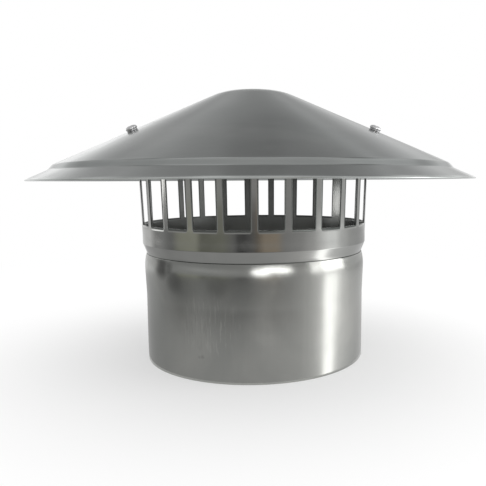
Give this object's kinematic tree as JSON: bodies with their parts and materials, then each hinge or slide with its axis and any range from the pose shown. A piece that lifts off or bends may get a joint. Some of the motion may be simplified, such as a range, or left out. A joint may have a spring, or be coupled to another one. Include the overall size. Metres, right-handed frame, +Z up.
{
  "type": "chimney cowl",
  "caption": "Fixed sheet metal chimney cowl: a stepped conical rain cap over a slotted cage on a short round pipe collar.",
  "frame": {"origin": "centre of the pipe's bottom edge, on the pipe's axis", "axes": "+Z up along the pipe's axis, -Y towards the front that the picture shows, +X to its right"},
  "size_m": [0.39, 0.39, 0.2408],
  "materials": {
    "cap_sheet": "satin",
    "cage_sheet": "satin",
    "pipe_sheet": "satin",
    "bracket_sheet": "satin",
    "rivet_alloy": "satin",
    "screw_steel": "bright",
    "spring_steel": "satin",
    "washer_steel": "bright",
    "nut_steel": "bright"
  },
  "bodies": {
    "root": {"cap_shell": "cap_sheet", "slotted_cage": "cage_sheet", "lower_pipe": "pipe_sheet", "cap_bracket_left": "bracket_sheet", "cap_bracket_right": "bracket_sheet", "cap_bracket_rear": "bracket_sheet", "bracket_rivets_left": "rivet_alloy", "bracket_rivets_right": "rivet_alloy", "bracket_rivets_rear": "rivet_alloy", "cap_screw_left": "screw_steel", "cap_screw_right": "screw_steel", "cap_screw_rear": "screw_steel", "spring_washer_left": "spring_steel", "spring_washer_right": "spring_steel", "spring_washer_rear": "spring_steel", "flat_washer_left": "washer_steel", "flat_washer_right": "washer_steel", "flat_washer_rear": "washer_steel", "cap_nut_left": "nut_steel", "cap_nut_right": "nut_steel", "cap_nut_rear": "nut_steel"}
  },
  "joints": []
}
